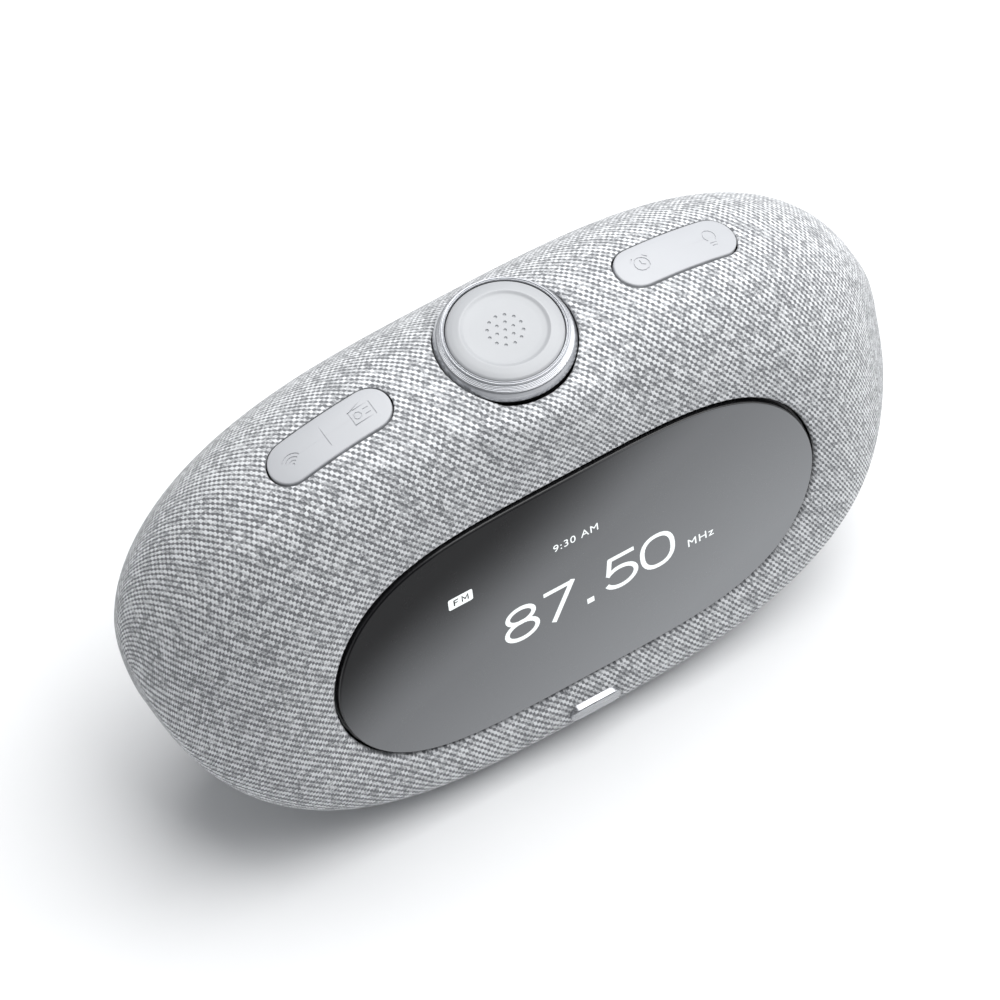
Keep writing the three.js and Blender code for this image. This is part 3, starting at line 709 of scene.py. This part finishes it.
def make_fabric():
    cover = outward(body_grid("woven_cover", *COVER_GRID, 0.0))
    mesh = cover.data
    inverse = BODY.inverted()

    def body_coordinates():
        rows = np.empty(len(mesh.vertices) * 3)
        mesh.vertices.foreach_get("co", rows)
        return moved(rows.reshape(-1, 3), inverse)

    # finer faces round each opening
    for reach, cuts in ((2.6, 1), (1.6, 1)):
        gap = edge_distance(body_coordinates())
        work = bmesh.new()
        work.from_mesh(mesh)
        work.verts.ensure_lookup_table()
        near = (gap > -0.9) & (gap < reach)
        edges = [e for e in work.edges if near[e.verts[0].index] or near[e.verts[1].index]]
        bmesh.ops.subdivide_edges(work, edges=edges, cuts=cuts, use_grid_fill=True)
        work.to_mesh(mesh)
        work.free()
    # the fabric turns in round each opening
    points = body_coordinates()
    hem = np.where(points[:, 2] > TOP_LEVEL, TOP_HEM_RADIUS, HEM_RADIUS)
    gap = edge_distance(points).clip(0, hem)
    sink = hem - np.sqrt(np.maximum(hem**2 - (hem - gap) ** 2, 0))
    mesh.update()
    normals = np.empty(len(mesh.vertices) * 3)
    mesh.vertices.foreach_get("normal", normals)
    points = points - normals.reshape(-1, 3) * sink[:, None]
    mesh.vertices.foreach_set("co", moved(points, BODY).astype(np.float32).ravel())
    mesh.update()

    cutters = [body_grid("inside", *CUTTER_GRID, FABRIC_THICKNESS)]
    cutters.append(slab("window_cut", window_outline(0.0, 220), -8, 12, WINDOW))
    cutters.append(slab("dial_cut", disc_outline(DIAL_HOLE, count=128), 38, 64, DIAL))
    for side in (-1, 1):
        half = (BAR_HALF[0] + BAR_GAP, BAR_HALF[1] + BAR_GAP)
        cutters.append(slab("bar_cut", pill_outline(half), -7, 6, bar_frame(side)))
    cutters.append(slab("panel_cut", box_outline(PANEL_HALF, PANEL_CORNER), -7, 13, PANEL))
    cutters.append(slab("base_cut", box_outline((120, 80), 1.0), -90, BASE_PLANE, BODY))
    combine(cover, cutters)
    finish_piece(cover, FABRIC, "case", "fabric", "fabric_cover", degrees=50)


# ---------------------------------------------------------------- window and readouts


def groove(start, end, width, low, high, matrix):
    """A straight groove's cutter, with round ends."""
    a, b = np.array(start, float), np.array(end, float)
    length = np.linalg.norm(b - a)
    angle = math.degrees(math.atan2(b[1] - a[1], b[0] - a[0]))
    middle = (a + b) / 2
    half = (length / 2 + width / 2, width / 2)
    place = matrix @ shift(middle[0], middle[1], 0) @ turn("Z", angle)
    return slab("mark", pill_outline(half, arc=6, straight=2), low, high, place)


def oval(centre, radii, start=0.0, end=360.0, power=2.0, count=28):
    t = np.radians(np.linspace(start, end, count + 1))
    cos, sin = np.cos(t), np.sin(t)
    x = np.sign(cos) * np.abs(cos) ** (2 / power)
    y = np.sign(sin) * np.abs(sin) ** (2 / power)
    return [(centre[0] + radii[0] * a, centre[1] + radii[1] * b) for a, b in zip(x, y)]


def band(points, width, closed=False):
    """The left and right edges of a line of even width."""
    rows = np.array(points, float)
    if closed:
        rows = rows[:-1]
    ahead = np.roll(rows, -1, 0) - rows
    back = rows - np.roll(rows, 1, 0)
    if not closed:
        ahead[-1], back[0] = back[-1], ahead[0]
    ahead /= np.linalg.norm(ahead, axis=1)[:, None]
    back /= np.linalg.norm(back, axis=1)[:, None]
    across = ahead + back
    across /= np.linalg.norm(across, axis=1)[:, None]
    across = np.stack([-across[:, 1], across[:, 0]], -1)
    spread = width / 2 / np.maximum((across * np.stack([-ahead[:, 1], ahead[:, 0]], -1)).sum(1), 0.5)
    return rows + across * spread[:, None], rows - across * spread[:, None]


def flat_line(points, width, low, high, closed=False):
    """Points and faces of a line of even width, as a closed flat solid."""
    left, right = band(points, width, closed)
    count = len(left)
    rows = []
    for height in (low, high):
        for side in (left, right):
            rows.append(np.column_stack([side, np.full(count, height)]))
    corner = [0, count, 2 * count, 3 * count]
    faces = []
    for i in range(count if closed else count - 1):
        k = (i + 1) % count
        faces.append((corner[2] + i, corner[3] + i, corner[3] + k, corner[2] + k))
        faces.append((corner[0] + k, corner[1] + k, corner[1] + i, corner[0] + i))
        faces.append((corner[0] + i, corner[2] + i, corner[2] + k, corner[0] + k))
        faces.append((corner[1] + k, corner[3] + k, corner[3] + i, corner[1] + i))
    if not closed:
        end = count - 1
        faces.append((corner[0], corner[1], corner[3], corner[2]))
        faces.append((corner[1] + end, corner[0] + end, corner[2] + end, corner[3] + end))
    return np.vstack(rows), faces


def drawing(name, lines, low, high, matrix):
    """Several flat lines as one mesh; each line is (points, width, closed)."""
    points, faces = [], []
    for rows, width, closed in lines:
        start = sum(len(p) for p in points)
        made, sides = flat_line(rows, width, low, high, closed)
        points.append(made)
        faces += [tuple(start + v for v in face) for face in sides]
    return outward(mesh_object(name, np.vstack(points), faces, matrix))


def lettering(name, text, height, left, base, low, high):
    """A short line of text on the window's plane, height being a capital's."""
    curve = bpy.data.curves.new(name, "FONT")
    curve.body = text
    curve.size = height / 0.72
    curve.extrude = (high - low) / 2
    curve.space_character = 1.14
    source = bpy.data.objects.new(name + "_text", curve)
    bpy.context.scene.collection.objects.link(source)
    view = bpy.context.evaluated_depsgraph_get()
    mesh = bpy.data.meshes.new_from_object(source.evaluated_get(view))
    bpy.data.objects.remove(source)
    mesh.transform(WINDOW @ shift(left, base, (low + high) / 2))
    obj = bpy.data.objects.new(name, mesh)
    bpy.context.scene.collection.objects.link(obj)
    return obj


def make_window():
    def glass_outline(inset):
        return window_outline(GLASS_MARGIN + inset, 200)

    glass = rounded_slab("window_face", glass_outline, -1.5, GLASS_TOP, 0.28, WINDOW)
    finish_piece(glass, SCREEN, "case", "window_glass", "window_glass")
    # black edge: the plate's side and a fine border round its face
    edge = loft(
        "window_edge",
        [
            (glass_outline(-0.22), -1.55),
            (glass_outline(-0.22), -0.1),
            (glass_outline(-0.08), 0.1),
            (glass_outline(0.3), 0.1),
            (glass_outline(0.3), -1.55),
        ],
        WINDOW,
    )
    combine(edge, [slab("hole", glass_outline(-0.02), -3, 3, WINDOW)])
    finish_piece(edge, GLOSS_BLACK, "case", "window_glass")

    low, high = GLASS_TOP + 0.01, GLASS_TOP + 0.05
    letters_low, letters_high = GLASS_TOP + 0.055, GLASS_TOP + 0.07
    width = 1.12
    lines = []
    lines.append((oval((-14.45, -1.65), (3.2, 2.15)), width, True))
    lines.append((oval((-14.45, -6.25), (3.75, 2.55)), width, True))
    lines.append(([(-8.6, 0.35), (-1.35, 0.35)], width, False))
    lines.append(([(-1.35, 0.88), (-6.9, -9.1)], width + 0.1, False))
    lines.append(([(1.4, -8.35), (3.1, -8.35)], 1.5, False))
    lines.append(([(13.7, 0.35), (7.3, 0.35)], width, False))
    lines.append(([(7.75, 0.6), (7.0, -4.2)], width, False))
    lines.append((oval((9.95, -5.85), (3.75, 2.85), 148, -158), width, False))
    lines.append((oval((19.2, -4.2), (3.75, 4.6), power=2.35), width, True))
    readout = drawing("frequency_readout", lines, low, high, WINDOW)
    finish_piece(readout, LIT, "case", "screen_film")
    for name, text, height, left, base in (
        ("clock_readout", "9:30 AM", 2.1, -5.0, 11.7),
        ("unit_readout", "MHz", 2.3, 26.3, -8.3),
    ):
        words = lettering(name, text, height, left, base, low, high)
        finish_piece(words, LIT, "case", "screen_film")
    tag = rounded_slab(
        "band_tag",
        lambda inset: box_outline((2.95, 1.6), 0.45, inset),
        low,
        high,
        0.01,
        WINDOW @ shift(-27.7, 12.55, 0),
        2,
    )
    finish_piece(tag, LIT, "case", "screen_film")
    tag_lines = [
        ([(-29.25, 11.75), (-29.25, 13.35), (-28.2, 13.35)], 0.34, False),
        ([(-29.25, 12.6), (-28.4, 12.6)], 0.3, False),
        ([(-27.3, 11.75), (-27.3, 13.35), (-26.6, 12.3), (-25.9, 13.35), (-25.9, 11.75)], 0.32, False),
    ]
    words = drawing("band_tag_letters", tag_lines, letters_low, letters_high, WINDOW)
    finish_piece(words, GLOSS_BLACK, "case", "screen_film")


# ---------------------------------------------------------------- dial


def make_dial():
    ring_profile = [(4.2, 36), (6, 36), (6, 45.6), (14.2, 45.6), (14.2, 52.2), (14.8, 52.6)]
    ring_profile += [(15, 53.1), (14.97, 53.6), (14.8, 54.3), (14.5, 55.05), (14.32, 55.35)]
    radius, height = 14.26, 55.42
    for _ in range(RING_GROOVES):
        for out, up in GROOVE_POINTS:
            ring_profile.append((radius + out, height + up))
        radius -= GROOVE_PITCH[0]
        height += GROOVE_PITCH[1]
    ring_profile += [(13.38, 56.7), (13.34, 56.95), (13.2, 57.08), (13.02, 57.0), (12.98, 56.78)]
    ring_profile += [(12.86, 56.78), (12.8, 57.0), (12.68, 57.05), (12.56, 56.9), (12.56, 47.6), (4.2, 47.6)]
    ring = turned("dial_ring", softened(ring_profile, 0.06, 2), DIAL, sides=168, ring=True)
    finish_piece(outward(ring), TURNED, "knob", "ring_metal", "knob_ring", degrees=40)

    cap_profile = [(0, 33.5), (3.8, 33.5), (3.8, 50), (12.42, 50), (12.42, 56.7), (12.05, 57.15)]
    cap_profile += [(11.0, 57.55), (9.75, 57.86), (9.45, 57.9), (9.2, 57.78), (8.7, 57.5), (7.5, 57.36)]
    cap_profile += [(5, 57.27), (0, 57.2)]
    cap = turned("snooze_top", softened(cap_profile, 0.35, 4), DIAL, sides=168)
    dimples = []
    places = [(0.0, 0.0)]
    for count, radius in DIMPLE_RINGS:
        for k in range(count):
            angle = math.radians(360 / count * k)
            places.append((radius * math.cos(angle), radius * math.sin(angle)))
    for x, y in places:
        pit = [(0, 56.85), (0.26, 56.93), (0.36, 57.12), (0.42, 57.4), (0.42, 58.5), (0, 58.5)]
        dimples.append(turned("pit", pit, DIAL @ shift(x, y, 0), sides=16))
    combine(cap, dimples)
    finish_piece(cap, CAP, "snooze", "cap_plastic", "snooze_cap")

    # the rubber dome under the cap's stem, at rest
    dome_profile = [(0, DOME_FOOT), (2.9, DOME_FOOT), (2.9, 31.9), (2.6, 32.3)]
    dome_profile += [(2.2, 32.9), (1.7, 33.3), (1.3, 33.4), (0, 33.4)]
    dome = turned("snooze_rubber_dome", softened(dome_profile, 0.1, 2), DIAL, sides=48)
    finish_piece(outward(dome), BY_SLOT["rubber"], "case", "rubber", "snooze_dome")
    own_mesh(dome)


# ---------------------------------------------------------------- key bars


def bar_surface(side):
    """Height of the bar's face over its own frame, as a function of (x, y), from a smooth fit."""
    along = np.linspace(side * 0.12, side * 0.55, 90)
    angle = np.radians(np.linspace(40, 140, 120))
    points = body_points(along[:, None], angle[None, :], BAR_RISE).reshape(-1, 3)
    at = moved(moved(points, BODY), bar_frame(side).inverted())
    near = (np.abs(at[:, 0]) < 17) & (np.abs(at[:, 1]) < 7.5)
    at = at[near]

    def terms(x, y):
        return np.stack([x**i * y**j for i in range(5) for j in range(5 - i)], -1)

    weights = np.linalg.lstsq(terms(at[:, 0], at[:, 1]), at[:, 2], rcond=None)[0]
    return lambda x, y: terms(np.asarray(x, float), np.asarray(y, float)) @ weights


def engrave(lines, surface, matrix, depth=0.16):
    """Solids that cut shallow marks into a bar; each line is (points, width, closed)."""
    cutters = []
    for rows, width, closed in lines:
        rows = [tuple(p) for p in rows]
        if closed:
            rows = rows + [rows[0]] if rows[0] != rows[-1] else rows
        for a, b in zip(rows, rows[1:]):
            middle = ((a[0] + b[0]) / 2, (a[1] + b[1]) / 2)
            floor = float(surface(np.array([middle[0]]), np.array([middle[1]]))[0]) - depth
            cutters.append(groove(a, b, width, floor, floor + 3, matrix))
    return cutters


def bar_marks(side):
    """Generic marks: radio waves, a divider and a receiver; on the other bar an alarm clock and a lamp."""
    lines = []
    if side < 0:
        for k, radius in enumerate((0.9, 1.7, 2.5)):
            lines.append((oval((-9.4, -1.2), (radius, radius), 35, 145, count=4 + 2 * k), 0.3, False))
        lines.append(([(-9.4, -1.25), (-9.4, -1.15)], 0.55, False))
        lines.append(([(-0.9, -2.6), (-0.9, 2.6)], 0.28, False))
        lines.append(([(5.6, -1.9), (10.6, -1.9), (10.6, 1.5), (5.6, 1.5)], 0.3, True))
        lines.append((oval((7.1, -0.2), (0.85, 0.85), count=8), 0.28, True))
        lines.append(([(8.8, 0.5), (9.8, 0.5)], 0.28, False))
        lines.append(([(8.8, -0.8), (9.8, -0.8)], 0.28, False))
        lines.append(([(6.2, 1.6), (9.4, 2.6)], 0.26, False))
    else:
        lines.append((oval((-8.6, 0.0), (1.7, 1.7), count=12), 0.28, True))
        lines.append(([(-8.6, 0.9), (-8.6, 0.0), (-7.9, -0.4)], 0.24, False))
        lines.append(([(-10.6, 1.3), (-9.9, 2.0)], 0.26, False))
        lines.append(([(-6.6, 1.3), (-7.3, 2.0)], 0.26, False))
        lines.append((oval((8.6, 0.5), (1.45, 1.45), -50, 230, count=10), 0.28, False))
        lines.append(([(7.9, -1.4), (9.3, -1.4)], 0.28, False))
        lines.append(([(8.1, -2.1), (9.1, -2.1)], 0.28, False))
    return lines


def make_bar(name, side):
    matrix = bar_frame(side)
    surface = bar_surface(side)
    rounding, side_wall = 0.32, 2.3
    layers = []
    outline = pill_outline(BAR_HALF)
    layers.append((outline, surface(outline[:, 0], outline[:, 1]) - side_wall))
    for k in range(6):
        lift = k / 5 * math.pi / 2
        inset = rounding * (1 - math.cos(lift))
        ring = pill_outline(BAR_HALF, inset)
        layers.append((ring, surface(ring[:, 0], ring[:, 1]) - rounding * (1 - math.sin(lift))))
    for inset in np.linspace(rounding, BAR_HALF[1] - 0.02, 9)[1:]:
        ring = pill_outline(BAR_HALF, inset)
        layers.append((ring, surface(ring[:, 0], ring[:, 1])))
    bar = loft(name + "_key_bar", layers, matrix)
    combine(bar, engrave(bar_marks(side), surface, matrix))
    finish_piece(bar, BAR, name + "_rocker", "cap_plastic", name + "_bar")


# ---------------------------------------------------------------- badge, rear panel, base


def make_badge():
    badge = rounded_slab(
        "blank_badge", lambda inset: pill_outline(BADGE_HALF, inset), -2.0, 0.9, 0.45, BADGE
    )
    combine(badge, [body_grid("skin", *CUTTER_GRID, -0.05)])
    finish_piece(badge, POLISHED, "case", "ring_metal", "front_badge")


def make_rear_panel():
    half = (PANEL_HALF[0] - 0.4, PANEL_HALF[1] - 0.4)
    plate = rounded_slab(
        "rear_port_panel", lambda inset: box_outline(half, 2.7, inset), -2.9, -0.75, 0.5, PANEL
    )
    recess = box_outline((half[0] - 2.6, half[1] - 2.6), 1.6)
    cuts = [slab("recess", recess, -1.15, 2, PANEL)]
    cuts.append(slab("inlet", disc_outline(3.3), -6, 2, PANEL @ shift(INLET_X, 0, 0)))
    cuts.append(slab("jack", disc_outline(2.9), -6, 2, PANEL @ shift(JACK_X, 0, 0)))
    cuts.append(slab("port", pill_outline((4.8, 1.95)), -6, 2, PANEL))
    for x in PANEL_SCREW_X:
        cuts.append(slab("screw", disc_outline(2.6), -2.1, 2, PANEL @ shift(x, 0, 0)))
        cuts.append(slab("hole", disc_outline(1.3), -6, 2, PANEL @ shift(x, 0, 0)))
    combine(plate, cuts)
    finish_piece(plate, BY_SLOT["dark_plastic"], "case", "dark_plastic", "rear_panel")
    for name, x, outline, inner in (
        ("inlet_rim", INLET_X, disc_outline(3.9), disc_outline(3.25)),
        ("jack_rim", JACK_X, disc_outline(3.5), disc_outline(2.85)),
    ):
        rim = slab(name, outline, -1.25, -0.95, PANEL @ shift(x, 0, 0))
        combine(rim, [slab("hole", inner, -3, 1, PANEL @ shift(x, 0, 0))])
        finish_piece(rim, BY_SLOT["sheet_steel"], "case", "sheet_steel")


def make_base():
    foot = rounded_slab(
        "base_foot",
        lambda inset: pill_outline((BASE_HALF[0] - 3, BASE_HALF[1] - 2.5), inset),
        0.0,
        2.2,
        0.6,
        BASE @ shift(0, 0, BASE_PLANE + 0.2) @ turn("X", 180),
    )
    grooves = []
    for k in range(-3, 4):
        at = BASE @ shift(0, 2.2 * k, BASE_PLANE - 2) @ turn("X", 180)
        grooves.append(slab("groove", pill_outline((31, 0.45)), -0.5, 1, at))
    combine(foot, grooves)
    finish_piece(foot, BY_SLOT["rubber"], "case", "rubber", "foot_pad")


# ---------------------------------------------------------------- assembly

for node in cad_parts.values():
    named = node.data.materials[0].name.split(".")[0]
    node.data.materials.clear()
    node.data.materials.append(BY_SLOT[named])

make_fabric()
make_window()
make_dial()
for bar_name, bar_side in (("left", -1), ("right", 1)):
    make_bar(bar_name, bar_side)
make_badge()
make_rear_panel()
make_base()


# ---------------------------------------------------------------- floor, light, camera


def make_floor():
    corners = [(-4, -4, 0), (4, -4, 0), (4, 4, 0), (-4, 4, 0)]
    floor = mesh_object("studio_floor", corners, [(0, 1, 2, 3)], Matrix.Identity(4))
    r = Recipe("studio_floor", (0.86, 0.865, 0.87), 0.9)
    r.set("Roughness", r.remap(r.noise(0.05, 2.0), 0.3, 0.7, 0.85, 0.95))
    floor.data.materials.append(r.material)


def area_light(name, location, target, size, watts):
    light = bpy.data.lights.new(name, "AREA")
    light.shape = "RECTANGLE"
    light.size, light.size_y = size
    light.energy = watts
    obj = bpy.data.objects.new(name, light)
    obj.location = location
    obj.rotation_mode = "QUATERNION"
    obj.rotation_quaternion = (Vector(target) - Vector(location)).to_track_quat("-Z", "Y")
    bpy.context.scene.collection.objects.link(obj)


def make_lights():
    centre = (0, 0, 0.055)
    area_light("overhead_softbox", (0.36, 0.12, 1.15), centre, (1.6, 1.3), 25.0)
    area_light("right_fill", (1.1, -0.1, 0.55), centre, (0.6, 0.8), 3.0)
    world = bpy.data.worlds.new("studio")
    world.use_nodes = True
    world.node_tree.nodes["Background"].inputs["Color"].default_value = (0.95, 0.97, 1.0, 1)
    world.node_tree.nodes["Background"].inputs["Strength"].default_value = 0.32
    bpy.context.scene.world = world


# the camera looks down on the body from its front left, from far away
CAMERA_AZIMUTH = -32.653
CAMERA_ELEVATION = 57.107
CAMERA_ROLL = 0.179
# metres from the body's centre, millimetres of lens, and how far the aim lies off that centre in metres
CAMERA_DISTANCE = 2.4324
CAMERA_LENS = 418.34
AIM_ACROSS = 0.0001
AIM_UP = -0.00523


def make_camera():
    a, e = math.radians(CAMERA_AZIMUTH), math.radians(CAMERA_ELEVATION)
    back = Vector((math.sin(a) * math.cos(e), -math.cos(a) * math.cos(e), math.sin(e)))
    right = Vector((math.cos(a), math.sin(a), 0))
    up = back.cross(right)
    roll = math.radians(CAMERA_ROLL)
    right, up = right * math.cos(roll) + up * math.sin(roll), up * math.cos(roll) - right * math.sin(roll)
    data = bpy.data.cameras.new("camera")
    data.sensor_width = 36
    data.lens = CAMERA_LENS
    data.clip_start, data.clip_end = 0.05, 50
    camera = bpy.data.objects.new("camera", data)
    aim = right * AIM_ACROSS + up * AIM_UP + back * CAMERA_DISTANCE
    location = Vector(BODY_SHIFT) * 0.001 + aim
    rotation = Matrix((right, up, back)).transposed()
    camera.matrix_world = Matrix.Translation(location) @ rotation.to_4x4()
    bpy.context.scene.collection.objects.link(camera)
    bpy.context.scene.camera = camera


make_floor()
make_lights()
make_camera()
bpy.context.scene.view_settings.view_transform = "Standard"
